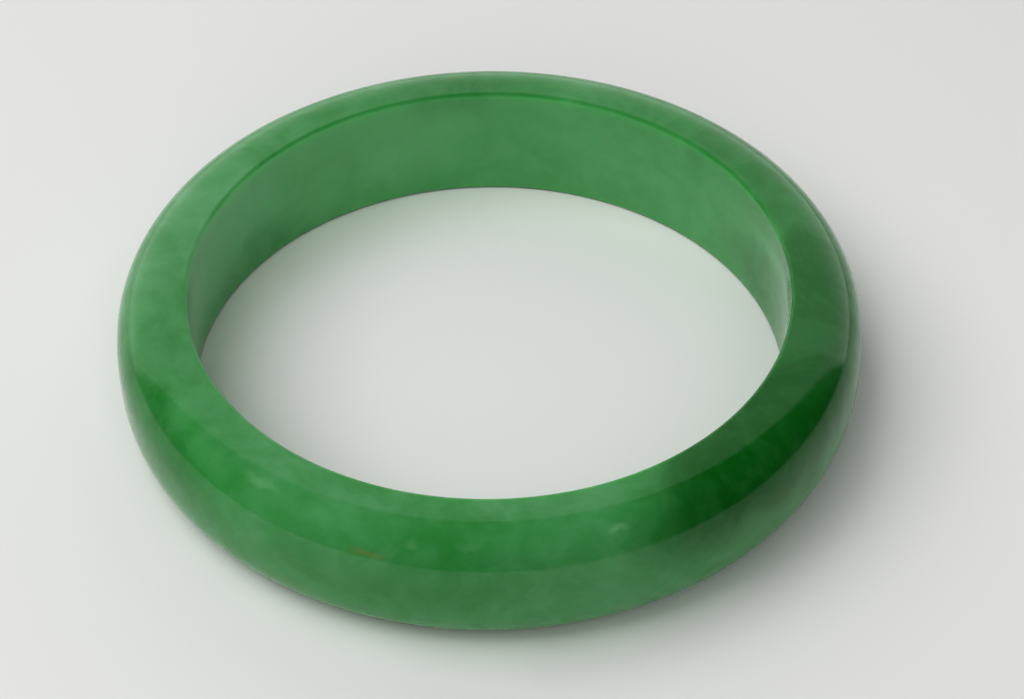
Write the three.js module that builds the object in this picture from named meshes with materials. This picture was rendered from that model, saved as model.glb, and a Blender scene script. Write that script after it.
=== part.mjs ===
// A solid jade bangle: one closed ring carved and polished from a single piece of stone.
// It slips over the hand, so it has no clasp, hinge, pin or lining: the whole object is one piece.
// The inside is a straight round wall, the outside is crowned, and each rim is polished flat where it rests.
// Millimetres, +Z up along the ring's axis, origin at the middle of the ring on the surface it lies on.
import * as THREE from "three";

// Driving dimensions.
const INNER_DIAMETER = 56; // across the wrist opening
const RING_HEIGHT = 12.2; // from rim to rim
const WALL_THICKNESS = 6.9; // from the inner wall to the crest of the crown
const EDGE_RADIUS = 0.4; // rounding where the inner wall turns into a rim
const RIM_WIDTH = 0.7; // flat land of a rim, between the rounding and the crown
const CROWN_FULLNESS = 2.7; // exponent of the crown's curve: 2 is an ellipse, more is squarer at the shoulders

// Facets of the turned shape.
const STEPS_AROUND = 96;
const STEPS_PER_EDGE = 3;
const STEPS_OVER_CROWN = 16;

// Finish: mid-green jade under a high polish.
const JADE_COLOUR = 0x3c7a42;
const JADE_ROUGHNESS = 0.12;
const STONE_METALNESS = 0;

// The rounding of one inner edge, as a quarter circle from one direction to the next, about its centre.
function edgeRounding(centreHeight, fromAngle) {
  const points = [];
  for (let step = 0; step <= STEPS_PER_EDGE; step++) {
    const angle = fromAngle + (step / STEPS_PER_EDGE) * (Math.PI / 2);
    points.push(
      new THREE.Vector2(
        INNER_DIAMETER / 2 + EDGE_RADIUS + EDGE_RADIUS * Math.cos(angle),
        centreHeight + EDGE_RADIUS * Math.sin(angle),
      ),
    );
  }
  return points;
}

// The crowned outside, from the lower rim over the crest to the upper rim, as half a superellipse.
function crown() {
  const foot = INNER_DIAMETER / 2 + EDGE_RADIUS + RIM_WIDTH;
  const depth = INNER_DIAMETER / 2 + WALL_THICKNESS - foot;
  const halfHeight = RING_HEIGHT / 2;
  const power = 2 / CROWN_FULLNESS;
  const points = [];
  for (let step = 0; step <= STEPS_OVER_CROWN; step++) {
    const angle = (step / STEPS_OVER_CROWN - 0.5) * Math.PI;
    const out = Math.pow(Math.abs(Math.cos(angle)), power);
    const up = Math.sign(angle) * Math.pow(Math.abs(Math.sin(angle)), power);
    points.push(new THREE.Vector2(foot + depth * out, halfHeight + halfHeight * up));
  }
  return points;
}

// The ring's whole cross-section as radius and height. It closes on itself, and its straight stretches
// are the two flat rims and the inner wall.
function ringSection() {
  const section = [
    ...edgeRounding(EDGE_RADIUS, Math.PI),
    ...crown(),
    ...edgeRounding(RING_HEIGHT - EDGE_RADIUS, Math.PI / 2),
  ];
  section.push(section[0].clone());
  return section;
}

function makeJadeRing() {
  const jade = new THREE.MeshStandardMaterial({
    color: JADE_COLOUR,
    roughness: JADE_ROUGHNESS,
    metalness: STONE_METALNESS,
  });
  const ring = new THREE.Mesh(new THREE.LatheGeometry(ringSection(), STEPS_AROUND), jade);
  ring.name = "jade_ring";
  ring.rotation.x = Math.PI / 2; // the lathe turns about Y, and the ring stands about Z
  return ring;
}

const bangle = new THREE.Group();
bangle.name = "bangle";
bangle.add(makeJadeRing());

export default bangle;
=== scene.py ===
import math
import bpy
from mathutils import Matrix, Vector


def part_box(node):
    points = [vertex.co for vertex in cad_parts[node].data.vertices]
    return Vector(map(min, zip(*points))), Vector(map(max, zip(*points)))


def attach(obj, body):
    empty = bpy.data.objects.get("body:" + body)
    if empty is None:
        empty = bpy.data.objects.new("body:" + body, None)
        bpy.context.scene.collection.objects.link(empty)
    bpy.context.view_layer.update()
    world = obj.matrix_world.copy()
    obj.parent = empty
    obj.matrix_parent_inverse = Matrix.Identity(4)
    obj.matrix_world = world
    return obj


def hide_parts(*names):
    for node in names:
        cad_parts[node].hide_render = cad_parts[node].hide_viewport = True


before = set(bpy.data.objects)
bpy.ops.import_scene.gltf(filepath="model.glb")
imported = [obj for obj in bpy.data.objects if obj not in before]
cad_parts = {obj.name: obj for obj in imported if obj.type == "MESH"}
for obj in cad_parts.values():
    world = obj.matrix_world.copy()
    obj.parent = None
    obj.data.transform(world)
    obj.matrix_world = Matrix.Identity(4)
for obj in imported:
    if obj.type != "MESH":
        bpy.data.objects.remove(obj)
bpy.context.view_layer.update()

# --- The jade ring -----------------------------------------------------------------------------
# The whole bangle is one closed ring, cored and turned out of a single block of jadeite. Its inner
# wall is straight, both rims are lapped flat, and the outside is ground by hand to a full crown.
# Everything is then polished until the stone shines like wax.

RING_LOW, RING_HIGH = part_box("jade_ring")
OUTER_RADIUS = (RING_HIGH.x - RING_LOW.x) / 2
RING_HEIGHT = RING_HIGH.z - RING_LOW.z
WALL_THICKNESS = 0.0069
INNER_RADIUS = OUTER_RADIUS - WALL_THICKNESS
EDGE_RADIUS = 0.0004
RIM_WIDTH = 0.0007
CROWN_FULLNESS = 2.7
HAND_GRINDING = 0.00003
GRINDING_WAVES_PER_METRE = 120.0
GRINDING_DETAIL = 1.0
STEPS_AROUND = 480
STEPS_OVER_CROWN = 64
POINTS_PER_LINE = 9
WELD_DISTANCE = 1e-6


def add_node(tree, kind, inputs=None, **settings):
    """Adds a node with its settings. An input gets a value, or the socket or the node that feeds it."""
    node = tree.nodes.new(kind)
    for name, value in settings.items():
        setattr(node, name, value)
    for place, value in (inputs or {}).items():
        if isinstance(value, bpy.types.Node):
            value = next(socket for socket in value.outputs if socket.enabled)
        if isinstance(value, bpy.types.NodeSocket):
            tree.links.new(value, node.inputs[place])
        else:
            node.inputs[place].default_value = value
    return node


def turned_ring(material):
    """The ring as a rule: a closed section swept round a circle, then ground a little uneven."""
    tree = bpy.data.node_groups.new("turned_ring", "GeometryNodeTree")
    interface = tree.interface
    interface.new_socket("Geometry", in_out="INPUT", socket_type="NodeSocketGeometry")
    for name in ("Inner Radius", "Height", "Wall", "Edge Radius", "Rim Width", "Fullness", "Unevenness"):
        interface.new_socket(name, in_out="INPUT", socket_type="NodeSocketFloat")
    for name in ("Steps Around", "Steps Over Crown"):
        interface.new_socket(name, in_out="INPUT", socket_type="NodeSocketInt")
    interface.new_socket("Geometry", in_out="OUTPUT", socket_type="NodeSocketGeometry")
    sizes = add_node(tree, "NodeGroupInput").outputs
    edge_radius = sizes["Edge Radius"]
    height = sizes["Height"]
    half = add_node(tree, "ShaderNodeMath", {0: height, 1: 0.5}, operation="MULTIPLY")
    foot = add_node(tree, "ShaderNodeMath", {0: edge_radius, 1: sizes["Rim Width"]}, operation="ADD")
    depth = add_node(tree, "ShaderNodeMath", {0: sizes["Wall"], 1: foot}, operation="SUBTRACT")
    power = add_node(tree, "ShaderNodeMath", {0: 2.0, 1: sizes["Fullness"]}, operation="DIVIDE")

    # The crown: half a superellipse, drawn from the lower rim over the crest to the upper rim.
    index = add_node(tree, "GeometryNodeInputIndex")
    share = add_node(tree, "ShaderNodeMath", {0: index, 1: sizes["Steps Over Crown"]}, operation="DIVIDE")
    from_crest = add_node(tree, "ShaderNodeMath", {0: share, 1: 0.5}, operation="SUBTRACT")
    angle = add_node(tree, "ShaderNodeMath", {0: from_crest, 1: math.pi}, operation="MULTIPLY")
    cosine = add_node(tree, "ShaderNodeMath", {0: angle}, operation="COSINE")
    across = add_node(tree, "ShaderNodeMath", {0: cosine}, operation="ABSOLUTE")
    bulge = add_node(tree, "ShaderNodeMath", {0: across, 1: power}, operation="POWER")
    out = add_node(tree, "ShaderNodeMath", {0: depth, 1: bulge}, operation="MULTIPLY")
    sine = add_node(tree, "ShaderNodeMath", {0: angle}, operation="SINE")
    side = add_node(tree, "ShaderNodeMath", {0: sine}, operation="SIGN")
    climb = add_node(tree, "ShaderNodeMath", {0: sine}, operation="ABSOLUTE")
    rise = add_node(tree, "ShaderNodeMath", {0: climb, 1: power}, operation="POWER")
    signed_rise = add_node(tree, "ShaderNodeMath", {0: side, 1: rise}, operation="MULTIPLY")
    up = add_node(tree, "ShaderNodeMath", {0: half, 1: signed_rise}, operation="MULTIPLY")
    crown_x = add_node(tree, "ShaderNodeMath", {0: foot, 1: out}, operation="ADD")
    crown_y = add_node(tree, "ShaderNodeMath", {0: half, 1: up}, operation="ADD")
    crown_place = add_node(tree, "ShaderNodeCombineXYZ", {0: crown_x, 1: crown_y})
    count = add_node(tree, "ShaderNodeMath", {0: sizes["Steps Over Crown"], 1: 1.0}, operation="ADD")
    crown_line = add_node(tree, "GeometryNodeMeshLine", {"Count": count})
    crown = add_node(tree, "GeometryNodeSetPosition", {"Geometry": crown_line, "Position": crown_place})

    # The two inner edges are quarter circles. The wall and the rims are the straight lines that are
    # left between them and the crown.
    upper_centre = add_node(tree, "ShaderNodeMath", {0: height, 1: edge_radius}, operation="SUBTRACT")
    pieces = [crown]
    for centre_height, start_angle in ((edge_radius, math.pi), (upper_centre, math.pi / 2)):
        arc = add_node(
            tree,
            "GeometryNodeCurveArc",
            {
                "Resolution": POINTS_PER_LINE,
                "Radius": edge_radius,
                "Start Angle": start_angle,
                "Sweep Angle": math.pi / 2,
            },
        )
        centre = add_node(tree, "ShaderNodeCombineXYZ", {0: edge_radius, 1: centre_height})
        moved = add_node(tree, "GeometryNodeTransform", {"Geometry": arc, "Translation": centre})
        pieces.append(add_node(tree, "GeometryNodeCurveToMesh", {"Curve": moved}))
    lower_rim = ((edge_radius, 0.0), (foot, 0.0))
    upper_rim = ((foot, height), (edge_radius, height))
    inner_wall = ((0.0, upper_centre), (0.0, edge_radius))
    for (from_x, from_y), (to_x, to_y) in (lower_rim, upper_rim, inner_wall):
        start = add_node(tree, "ShaderNodeCombineXYZ", {0: from_x, 1: from_y})
        end = add_node(tree, "ShaderNodeCombineXYZ", {0: to_x, 1: to_y})
        ends = {"Count": POINTS_PER_LINE, "Start Location": start, "Offset": end}
        pieces.append(add_node(tree, "GeometryNodeMeshLine", ends, mode="END_POINTS"))
    join = add_node(tree, "GeometryNodeJoinGeometry")
    for piece in pieces:
        tree.links.new(piece.outputs[0], join.inputs[0])
    welded = add_node(tree, "GeometryNodeMergeByDistance", {"Geometry": join, "Distance": WELD_DISTANCE})
    flipped = add_node(tree, "GeometryNodeTransform", {"Geometry": welded, "Scale": (1.0, -1.0, 1.0)})
    outline = add_node(tree, "GeometryNodeMeshToCurve", {0: flipped})

    # The sweep carries the section round the inner wall's circle, and the faces are turned outwards.
    circle = add_node(
        tree,
        "GeometryNodeCurvePrimitiveCircle",
        {"Resolution": sizes["Steps Around"], "Radius": sizes["Inner Radius"]},
    )
    swept = add_node(tree, "GeometryNodeCurveToMesh", {"Curve": circle, "Profile Curve": outline})
    outward = add_node(tree, "GeometryNodeFlipFaces", {"Mesh": swept})
    smooth = add_node(tree, "GeometryNodeSetShadeSmooth", {"Geometry": outward})

    # Grinding by hand leaves the polished surface very slightly wavy.
    place = add_node(tree, "GeometryNodeInputPosition")
    waves = add_node(
        tree,
        "ShaderNodeTexNoise",
        {"Vector": place, "Scale": GRINDING_WAVES_PER_METRE, "Detail": GRINDING_DETAIL},
    )
    swing = add_node(tree, "ShaderNodeMath", {0: waves, 1: 0.5}, operation="SUBTRACT")
    reach = add_node(tree, "ShaderNodeMath", {0: swing, 1: sizes["Unevenness"]}, operation="MULTIPLY")
    normal = add_node(tree, "GeometryNodeInputNormal")
    shift = add_node(tree, "ShaderNodeVectorMath", {0: normal, "Scale": reach}, operation="SCALE")
    ground = add_node(tree, "GeometryNodeSetPosition", {"Geometry": smooth, "Offset": shift})
    solid = add_node(tree, "GeometryNodeRealizeInstances", {"Geometry": ground})
    polished = add_node(tree, "GeometryNodeSetMaterial", {"Geometry": solid, "Material": material})
    add_node(tree, "NodeGroupOutput", {"Geometry": polished})
    return tree


def linear(hex_colour):
    """An sRGB hex colour as linear red, green, blue and full alpha."""
    channels = [int(hex_colour[i : i + 2], 16) / 255 for i in (1, 3, 5)]
    return [c / 12.92 if c <= 0.04045 else ((c + 0.055) / 1.055) ** 2.4 for c in channels] + [1.0]


# Jadeite, lapped and waxed, is interlocked grains under a glassy skin. Light sinks a few millimetres
# in and comes out green, so the shading is soft. The colour is uneven all through: emerald patches
# where chrome ran in, milky ones where the grain is coarser, and a few short threads.
# Painted light and shade are mixed into the colour too: a pale glow on the inner wall, a darker green on its
# two thin edges, and one patch each of painted light and painted shade on the inner wall.
JADE_GREEN = "#348740"
EMERALD_GREEN = "#025E12"
MILKY_GREEN = "#61A26E"
# Painted light: the pale green that the inner wall is lightened towards, as a glow.
PAINTED_GLOW_GREEN = "#80D08E"
# Painted shade: the darker green that the two thin inner edges are mixed towards.
PAINTED_SHADE_GREEN = "#0A4A1A"
PALE_THREAD = "#A8D0A8"
RUST_BROWN = "#A07848"
JADEITE_IOR = 1.66
WAXED_GLOSS = 0.27
SMOOTH_GRAIN, COARSE_GRAIN = 0.09, 0.12
SCATTER_DEPTH = 0.0022
SCATTER_BY_COLOUR = (0.35, 1.0, 0.4)
# Soft clouds 12 mm across and mottling 2.8 mm across: how rough each is, the noise levels between
# which it goes from clear to milky, and how milky it makes the stone.
CLOUD_SIZE, CLOUD_ROUGHNESS = 0.012, 0.55
CLOUD_CLEAR, CLOUD_FULL, CLOUD_MILK = 0.35, 0.68, 0.35
MOTTLE_SIZE, MOTTLE_ROUGHNESS = 0.0028, 0.6
MOTTLE_CLEAR, MOTTLE_FULL, MOTTLE_MILK = 0.3, 0.7, 0.3
GRAIN_DETAIL = 3.0
# Patches wander along swirls 9 mm across, the milky ones by more than the emerald ones. Threads fray
# along swirls a little over 1 mm across.
SWIRL_SIZE, MILKY_DRIFT, EMERALD_DRIFT = 0.009, 0.010, 0.005
THREAD_FRAY = 0.0012
SWIRL_DETAIL = 2.0
# The share of a patch, from its middle, that is at full strength.
MILKY_CORE, EMERALD_CORE, THREAD_CORE = 0.1, 0.45, 0.0
THINNEST_EMERALD = 0.88
MM = 0.001
# Each patch: degrees round the ring, how far out and how high its middle is, half its length round
# the ring and half its width, all in millimetres, and how strong it is.
EMERALD_PATCHES_AND_PAINTED_SHADE = [
    (321, 31.5, 11.5, 21, 8.5, 1.0),
    (350, 29.5, 12.5, 20, 6, 0.8),
    (20, 30, 12, 12, 4, 0.35),
    # Painted shade: the next patch darkens the right part of the inner wall, which the left lamp lights
    # directly.
    (8, 28, 4, 20, 6, 0.5),
    (203, 34, 8.5, 17, 5, 0.45),
    (178, 31, 12, 22, 7, 0.2),
    (39, 31, 12, 5, 5, 0.3),
    (97, 29, 12, 9, 4, 0.3),
    (145, 28, 1, 9, 5, 0.25),
    (262, 34, 8.5, 22, 4.5, 0.15),
]
MILKY_PATCHES_AND_PAINTED_LIGHT = [
    (344, 34, 7, 2.5, 9, 0.35),
    (48, 28, 5, 12, 7, 0.15),
    (108, 28, 5, 8, 6, 0.5),
    (128, 28, 5, 7, 5, 0.45),
    (243, 33, 9, 9, 6, 0.3),
    # Painted light: the next patch lightens the left part of the inner wall, which lies in the left lamp's
    # shade.
    (158, 28, 7, 20, 9, 0.9),
]
PALE_THREADS = [
    (232, 32.3, 11.7, 3.4, 0.7, 0.16),
    (258, 33.2, 11.2, 1.0, 0.6, 0.14),
    (267, 33.1, 11.2, 1.3, 0.6, 0.14),
    (289, 32.9, 11.4, 1.6, 0.5, 0.25),
]
RUST_THREADS = [(252, 34.1, 10.1, 2.4, 0.5, 0.4)]
# How strongly the painted glow lightens the inner wall at its foot and at its top, and on the side the light
# comes from and the side across from it.
GLOW_AT_FOOT, GLOW_AT_TOP = 0.24, 0.38
GLOW_NEAR_LIGHT, GLOW_ACROSS = 1.6, 0.65
# Going outwards, the painted glow fades over the rounded edge. The painted shade of the edge fades a little
# past it, on the flat rim.
GLOW_FULL_TO = INNER_RADIUS + EDGE_RADIUS / 4
GLOW_ENDS_AT = INNER_RADIUS + EDGE_RADIUS
PAINTED_EDGE_SHADE = 0.15
SHADE_FULL_TO = INNER_RADIUS + EDGE_RADIUS / 2
SHADE_ENDS_AT = INNER_RADIUS + EDGE_RADIUS * 1.4

jadeite = bpy.data.materials.new("polished_jadeite")
jadeite.use_nodes = True
stone = jadeite.node_tree
stone.nodes.clear()
stone_place = add_node(stone, "ShaderNodeTexCoord").outputs["Object"]


def wandering(swirl_size, reach):
    """The place in the stone moved about by swirls, so that outlines looked up there wander."""
    swirl = add_node(
        stone, "ShaderNodeTexNoise", {"Vector": stone_place, "Scale": 1 / swirl_size, "Detail": SWIRL_DETAIL}
    )
    centred = add_node(
        stone,
        "ShaderNodeVectorMath",
        {0: swirl.outputs["Color"], 1: (0.5, 0.5, 0.5)},
        operation="SUBTRACT",
    )
    moved = add_node(stone, "ShaderNodeVectorMath", {0: centred, "Scale": reach}, operation="SCALE")
    return add_node(stone, "ShaderNodeVectorMath", {0: stone_place, 1: moved})


def patches(spots, where, core):
    """How strong the strongest patch of a list is at each place."""
    strongest = None
    for degrees, radius, height, half_length, half_width, strength in spots:
        turn = math.radians(degrees)
        middle = Vector((radius * math.cos(turn), radius * math.sin(turn), height)) * MM
        reach = Vector((half_width, half_length, half_width)) * MM
        spot = add_node(
            stone,
            "ShaderNodeMapping",
            {"Vector": where, "Location": middle, "Rotation": (0.0, 0.0, turn), "Scale": reach},
            vector_type="TEXTURE",
        )
        gap = add_node(stone, "ShaderNodeVectorMath", {0: spot}, operation="LENGTH")
        patch = add_node(
            stone,
            "ShaderNodeMapRange",
            {"Value": gap, "From Min": core, "From Max": 1.0, "To Min": strength, "To Max": 0.0},
            interpolation_type="SMOOTHSTEP",
        )
        if strongest is None:
            strongest = patch
        else:
            strongest = add_node(stone, "ShaderNodeMath", {0: strongest, 1: patch}, operation="MAXIMUM")
    return strongest


# Milky stone: soft clouds, finer mottling and the milky patches together, one of them painted light on the
# left of the inner wall.
milky_place = wandering(SWIRL_SIZE, MILKY_DRIFT)
cloud_noise = add_node(
    stone,
    "ShaderNodeTexNoise",
    {
        "Vector": stone_place,
        "Scale": 1 / CLOUD_SIZE,
        "Detail": GRAIN_DETAIL,
        "Roughness": CLOUD_ROUGHNESS,
    },
)
clouds = add_node(
    stone,
    "ShaderNodeMapRange",
    {"Value": cloud_noise, "From Min": CLOUD_CLEAR, "From Max": CLOUD_FULL},
    interpolation_type="SMOOTHSTEP",
)
mottle_noise = add_node(
    stone,
    "ShaderNodeTexNoise",
    {
        "Vector": milky_place,
        "Scale": 1 / MOTTLE_SIZE,
        "Detail": GRAIN_DETAIL,
        "Roughness": MOTTLE_ROUGHNESS,
    },
)
mottle = add_node(
    stone,
    "ShaderNodeMapRange",
    {"Value": mottle_noise, "From Min": MOTTLE_CLEAR, "From Max": MOTTLE_FULL},
    interpolation_type="SMOOTHSTEP",
)
cloud_milk = add_node(stone, "ShaderNodeMath", {0: clouds, 1: CLOUD_MILK}, operation="MULTIPLY")
mottle_milk = add_node(stone, "ShaderNodeMath", {0: mottle, 1: MOTTLE_MILK}, operation="MULTIPLY")
grain_milk = add_node(stone, "ShaderNodeMath", {0: cloud_milk, 1: mottle_milk}, operation="ADD")
patch_milk_and_light = patches(MILKY_PATCHES_AND_PAINTED_LIGHT, milky_place, MILKY_CORE)
milk_and_painted_light = add_node(stone, "ShaderNodeMath", {0: grain_milk, 1: patch_milk_and_light}, operation="ADD")
colour = add_node(
    stone, "ShaderNodeMix", {0: milk_and_painted_light, 6: linear(JADE_GREEN), 7: linear(MILKY_GREEN)}, data_type="RGBA"
)

# A few short pale streaks and a rusty thread of stone, frayed at their outlines.
frayed_place = wandering(THREAD_FRAY, THREAD_FRAY)
for threads, thread_colour in ((PALE_THREADS, PALE_THREAD), (RUST_THREADS, RUST_BROWN)):
    thread = patches(threads, frayed_place, THREAD_CORE)
    colour = add_node(
        stone, "ShaderNodeMix", {0: thread, 6: colour, 7: linear(thread_colour)}, data_type="RGBA"
    )

# Emerald patches, and one patch of painted shade on the right of the inner wall, a little thinner where the
# mottling is pale.
emerald_place = wandering(SWIRL_SIZE, EMERALD_DRIFT)
emerald_and_shade_patch = patches(EMERALD_PATCHES_AND_PAINTED_SHADE, emerald_place, EMERALD_CORE)
thinning = add_node(
    stone,
    "ShaderNodeMapRange",
    {"Value": mottle, "To Min": 1.0, "To Max": THINNEST_EMERALD},
    interpolation_type="SMOOTHSTEP",
)
emerald_and_painted_shade = add_node(stone, "ShaderNodeMath", {0: emerald_and_shade_patch, 1: thinning}, operation="MULTIPLY")
colour = add_node(
    stone, "ShaderNodeMix", {0: emerald_and_painted_shade, 6: colour, 7: linear(EMERALD_GREEN)}, data_type="RGBA"
)

# Painted light: the inner wall's colour is lightened towards a pale glow that stands for light passing
# through the stone. It is strongest at the top and on the left, the side the light comes from, where the
# wall itself lies in the left lamp's shade, and weakest where the stone is emerald.
axes = add_node(stone, "ShaderNodeSeparateXYZ", {0: stone_place}).outputs
flat_place = add_node(stone, "ShaderNodeCombineXYZ", {0: axes["X"], 1: axes["Y"]})
from_axis = add_node(stone, "ShaderNodeVectorMath", {0: flat_place}, operation="LENGTH")
from_middle = add_node(stone, "ShaderNodeMath", {0: axes["Z"], 1: RING_HEIGHT / 2}, operation="SUBTRACT")
off_middle = add_node(stone, "ShaderNodeMath", {0: from_middle}, operation="ABSOLUTE")
straight_part = RING_HEIGHT / 2 - EDGE_RADIUS
below_edge = add_node(
    stone,
    "ShaderNodeMapRange",
    {
        "Value": off_middle,
        "From Min": straight_part,
        "From Max": straight_part + EDGE_RADIUS,
        "To Min": 1.0,
        "To Max": 0.0,
    },
    interpolation_type="SMOOTHSTEP",
)
near_bore = add_node(
    stone,
    "ShaderNodeMapRange",
    {
        "Value": from_axis,
        "From Min": GLOW_FULL_TO,
        "From Max": GLOW_ENDS_AT,
        "To Min": 1.0,
        "To Max": 0.0,
    },
    interpolation_type="SMOOTHSTEP",
)
by_side = add_node(
    stone,
    "ShaderNodeMapRange",
    {
        "Value": axes["X"],
        "From Min": -INNER_RADIUS,
        "From Max": INNER_RADIUS,
        "To Min": GLOW_NEAR_LIGHT,
        "To Max": GLOW_ACROSS,
    },
    interpolation_type="SMOOTHSTEP",
)
by_height = add_node(
    stone,
    "ShaderNodeMapRange",
    {"Value": axes["Z"], "From Max": RING_HEIGHT, "To Min": GLOW_AT_FOOT, "To Max": GLOW_AT_TOP},
    interpolation_type="SMOOTHSTEP",
)
clear_of_emerald_and_shade = add_node(stone, "ShaderNodeMath", {0: 1.0, 1: emerald_and_painted_shade}, operation="SUBTRACT")
painted_wall_glow = near_bore
for factor in (below_edge, by_side, by_height, clear_of_emerald_and_shade):
    painted_wall_glow = add_node(stone, "ShaderNodeMath", {0: painted_wall_glow, 1: factor}, operation="MULTIPLY")
colour = add_node(
    stone, "ShaderNodeMix", {0: painted_wall_glow, 6: colour, 7: linear(PAINTED_GLOW_GREEN)}, data_type="RGBA"
)

# Painted shade: the two thin inner edges are darkened in colour.
near_edge = add_node(
    stone,
    "ShaderNodeMapRange",
    {
        "Value": from_axis,
        "From Min": SHADE_FULL_TO,
        "From Max": SHADE_ENDS_AT,
        "To Min": PAINTED_EDGE_SHADE,
        "To Max": 0.0,
    },
    interpolation_type="SMOOTHSTEP",
)
off_wall = add_node(stone, "ShaderNodeMath", {0: 1.0, 1: below_edge}, operation="SUBTRACT")
painted_edge_shade = add_node(stone, "ShaderNodeMath", {0: near_edge, 1: off_wall}, operation="MULTIPLY")
colour = add_node(
    stone, "ShaderNodeMix", {0: painted_edge_shade, 6: colour, 7: linear(PAINTED_SHADE_GREEN)}, data_type="RGBA"
)

# The polish is a little less glassy where the grain is coarse.
polish = add_node(
    stone,
    "ShaderNodeMapRange",
    {"Value": mottle, "To Min": SMOOTH_GRAIN, "To Max": COARSE_GRAIN},
    interpolation_type="SMOOTHSTEP",
)
jade_shader = add_node(
    stone,
    "ShaderNodeBsdfPrincipled",
    {
        "Base Color": colour,
        "Specular IOR Level": WAXED_GLOSS,
        "Roughness": polish,
        "IOR": JADEITE_IOR,
        "Subsurface Weight": 1.0,
        "Subsurface Radius": SCATTER_BY_COLOUR,
        "Subsurface Scale": SCATTER_DEPTH,
    },
)
add_node(stone, "ShaderNodeOutputMaterial", {"Surface": jade_shader})

# The rule is evaluated once with the ring's sizes, and the result kept as a plain mesh.
blank = bpy.data.objects.new("ring_rule", bpy.data.meshes.new("ring_rule"))
bpy.context.scene.collection.objects.link(blank)
rule = blank.modifiers.new("turned_ring", "NODES")
rule.node_group = turned_ring(jadeite)
ring_sizes = {
    "Inner Radius": INNER_RADIUS,
    "Height": RING_HEIGHT,
    "Wall": WALL_THICKNESS,
    "Edge Radius": EDGE_RADIUS,
    "Rim Width": RIM_WIDTH,
    "Fullness": CROWN_FULLNESS,
    "Unevenness": HAND_GRINDING,
    "Steps Around": STEPS_AROUND,
    "Steps Over Crown": STEPS_OVER_CROWN,
}
for socket in rule.node_group.interface.items_tree:
    if socket.name in ring_sizes and socket.in_out == "INPUT":
        rule[socket.identifier] = ring_sizes[socket.name]
depsgraph = bpy.context.evaluated_depsgraph_get()
ring_mesh = bpy.data.meshes.new_from_object(blank.evaluated_get(depsgraph))
bpy.data.objects.remove(blank)
jade_ring = bpy.data.objects.new("jade_ring_polished", ring_mesh)
bpy.context.scene.collection.objects.link(jade_ring)
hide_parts("jade_ring")
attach(jade_ring, "root")

# --- The table ---------------------------------------------------------------------------------
# The ring lies on a flat table covered with matt white card, wide enough to reach past the view on
# every side and to fill the reflections in the stone.

TABLE_REACH = 0.6
CARD_WHITE = "#E4E4E3"
CARD_ROUGHNESS = 0.9
table_mesh = bpy.data.meshes.new("table_top")
corners = [(x * TABLE_REACH, y * TABLE_REACH, 0) for x, y in ((-1, -1), (1, -1), (1, 1), (-1, 1))]
table_mesh.from_pydata(corners, [], [(0, 1, 2, 3)])
table = bpy.data.objects.new("table_top", table_mesh)
bpy.context.scene.collection.objects.link(table)
# Uncoated card: bright, with no gloss of its own.
card = bpy.data.materials.new("matt_white_card")
card.use_nodes = True
card.node_tree.nodes.clear()
card_shader = add_node(
    card.node_tree,
    "ShaderNodeBsdfPrincipled",
    {"Base Color": linear(CARD_WHITE), "Roughness": CARD_ROUGHNESS},
)
add_node(card.node_tree, "ShaderNodeOutputMaterial", {"Surface": card_shader})
table_mesh.materials.append(card)

# --- Lights ------------------------------------------------------------------------------------
# A dim pale room with one bright window wall behind the ring, which draws the soft band along the
# upper side of the crown. Two soft lamps light the ring and the table, one from the left and one
# from the front.

ROOM_LIGHT = 0.08
WINDOW_WALL_LIGHT = 0.62
WINDOW_WALL_FOOT_LIGHT = 1.1
WINDOW_WALL_FOOT, WINDOW_WALL_TOP = 0.1, 0.7
WINDOW_WALL_EDGE = 0.47
WINDOW_WALL_EDGE_BLUR = 0.02
HORIZON_LIGHT = 0.5
HORIZON_BLUR = 0.03
BACKDROP_LIGHT = 0.66
ROOM_WHITE = (1.0, 1.0, 0.99, 1.0)

soft_room = bpy.data.worlds.new("soft_room")
soft_room.use_nodes = True
room = soft_room.node_tree
room.nodes.clear()
looking = add_node(room, "ShaderNodeTexCoord").outputs["Generated"]
toward = add_node(room, "ShaderNodeSeparateXYZ", {0: looking}).outputs
window = add_node(
    room,
    "ShaderNodeMapRange",
    {
        "Value": toward["Z"],
        "From Min": WINDOW_WALL_FOOT,
        "From Max": WINDOW_WALL_TOP,
        "To Min": WINDOW_WALL_FOOT_LIGHT,
        "To Max": WINDOW_WALL_LIGHT,
    },
)
walls = add_node(
    room,
    "ShaderNodeMapRange",
    {
        "Value": toward["Y"],
        "From Min": WINDOW_WALL_EDGE - WINDOW_WALL_EDGE_BLUR,
        "From Max": WINDOW_WALL_EDGE + WINDOW_WALL_EDGE_BLUR,
        "To Min": ROOM_LIGHT,
        "To Max": window,
    },
    interpolation_type="SMOOTHSTEP",
)
reflected = add_node(
    room,
    "ShaderNodeMapRange",
    {"Value": toward["Z"], "From Max": HORIZON_BLUR, "To Min": HORIZON_LIGHT, "To Max": walls},
    interpolation_type="SMOOTHSTEP",
)
# Seen directly, the room is one plain pale backdrop.
seen = add_node(room, "ShaderNodeLightPath").outputs["Is Camera Ray"]
brightness = add_node(
    room, "ShaderNodeMapRange", {"Value": seen, "To Min": reflected, "To Max": BACKDROP_LIGHT}
)
sky = add_node(room, "ShaderNodeBackground", {"Color": ROOM_WHITE, "Strength": brightness})
add_node(room, "ShaderNodeOutputWorld", {"Surface": sky})
bpy.context.scene.world = soft_room

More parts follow.
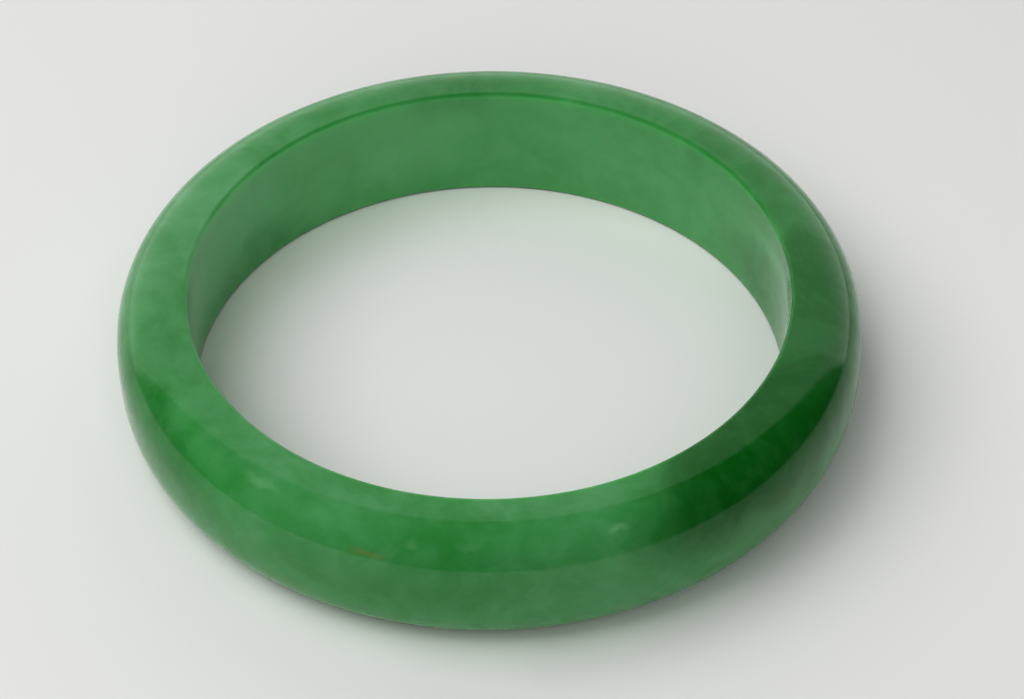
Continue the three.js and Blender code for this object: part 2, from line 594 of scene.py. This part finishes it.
# Each lamp: name, degrees round the ring, degrees up, distance and side in metres, and brightness.
# The lamps leave no reflection of their own in the polish.
SOFTBOXES = [
    ("left_softbox", 183, 58, 0.9, 0.8, 2.7),
    ("front_softbox", 268, 36, 0.9, 0.7, 1.65),
]
for name, azimuth, elevation, distance, side, radiance in SOFTBOXES:
    light = bpy.data.lights.new(name, "AREA")
    light.shape = "SQUARE"
    light.size = side
    light.energy = radiance * math.pi * side * side
    lamp = bpy.data.objects.new(name, light)
    bpy.context.scene.collection.objects.link(lamp)
    turn, rise = math.radians(azimuth), math.radians(elevation)
    to_lamp = Vector((math.cos(rise) * math.cos(turn), math.cos(rise) * math.sin(turn), math.sin(rise)))
    lamp.location = to_lamp * distance
    lamp.rotation_euler = to_lamp.to_track_quat("Z", "Y").to_euler()
    lamp.visible_glossy = False
    lamp.visible_camera = False

# Light that sinks into the stone comes out green at its foot and tints the table there. Thin strips
# that light only the table stand for it: first and last degrees, radius in millimetres, and power.
STONE_GLOW = [(215, 325, 34.0, 0.00009), (30, 225, 28.0, 0.00006)]
GLOW_HEIGHT = 0.004
GLOW_LENGTH = 0.011
GLOW_WIDTH = 0.002
GLOW_COLOUR = (0.75, 1.0, 0.7)
table_only = bpy.data.collections.new("table_only")
table_only.objects.link(table)
for first, last, radius, power in STONE_GLOW:
    arc = math.radians(last - first)
    strips = round(arc * radius * MM / GLOW_LENGTH)
    for number in range(strips):
        share = (number + 0.5) / strips
        turn = math.radians(first) + arc * share
        strip = bpy.data.lights.new("stone_glow", "AREA")
        strip.shape = "RECTANGLE"
        strip.size = GLOW_LENGTH
        strip.size_y = GLOW_WIDTH
        strip.energy = power * math.sin(math.pi * share)
        strip.color = GLOW_COLOUR
        glow = bpy.data.objects.new("stone_glow", strip)
        bpy.context.scene.collection.objects.link(glow)
        glow.location = (radius * MM * math.cos(turn), radius * MM * math.sin(turn), GLOW_HEIGHT)
        glow.rotation_euler = (0.0, 0.0, turn + math.pi / 2)
        glow.visible_glossy = False
        glow.visible_camera = False
        glow.light_linking.receiver_collection = table_only
        glow.light_linking.blocker_collection = table_only

# --- Camera ------------------------------------------------------------------------------------
# A long lens looks down over the near side of the ring, aimed a little to the right of its middle
# and below it, and rolled by a quarter of a degree.

CAMERA_LENS_MM = 97.9
CAMERA_DISTANCE = 0.2627
CAMERA_ELEVATION = math.radians(42.53)
CAMERA_ROLL = math.radians(-0.25)
NEAREST_SEEN = 0.01
LOOKS_RIGHT = 0.00208
LOOKS_DOWN = 0.00204
ring_middle = Vector((0, 0, RING_HEIGHT / 2))
to_camera = Vector((0, -math.cos(CAMERA_ELEVATION), math.sin(CAMERA_ELEVATION)))
camera_place = ring_middle + to_camera * CAMERA_DISTANCE
aim = ring_middle + Vector((LOOKS_RIGHT, 0, 0)) - to_camera.cross(Vector((1, 0, 0))) * LOOKS_DOWN
forward = (aim - camera_place).normalized()
right = forward.cross(Vector((0, 0, 1))).normalized()
up = right.cross(forward)
camera_data = bpy.data.cameras.new("camera")
camera_data.lens = CAMERA_LENS_MM
camera_data.clip_start = NEAREST_SEEN
camera = bpy.data.objects.new("camera", camera_data)
bpy.context.scene.collection.objects.link(camera)
turned = Matrix((right, up, -forward)).transposed().to_4x4() @ Matrix.Rotation(CAMERA_ROLL, 4, "Z")
camera.matrix_world = Matrix.Translation(camera_place) @ turned
bpy.context.scene.camera = camera
bpy.context.scene.view_settings.view_transform = "Standard"
bpy.context.scene.view_settings.look = "Medium High Contrast"
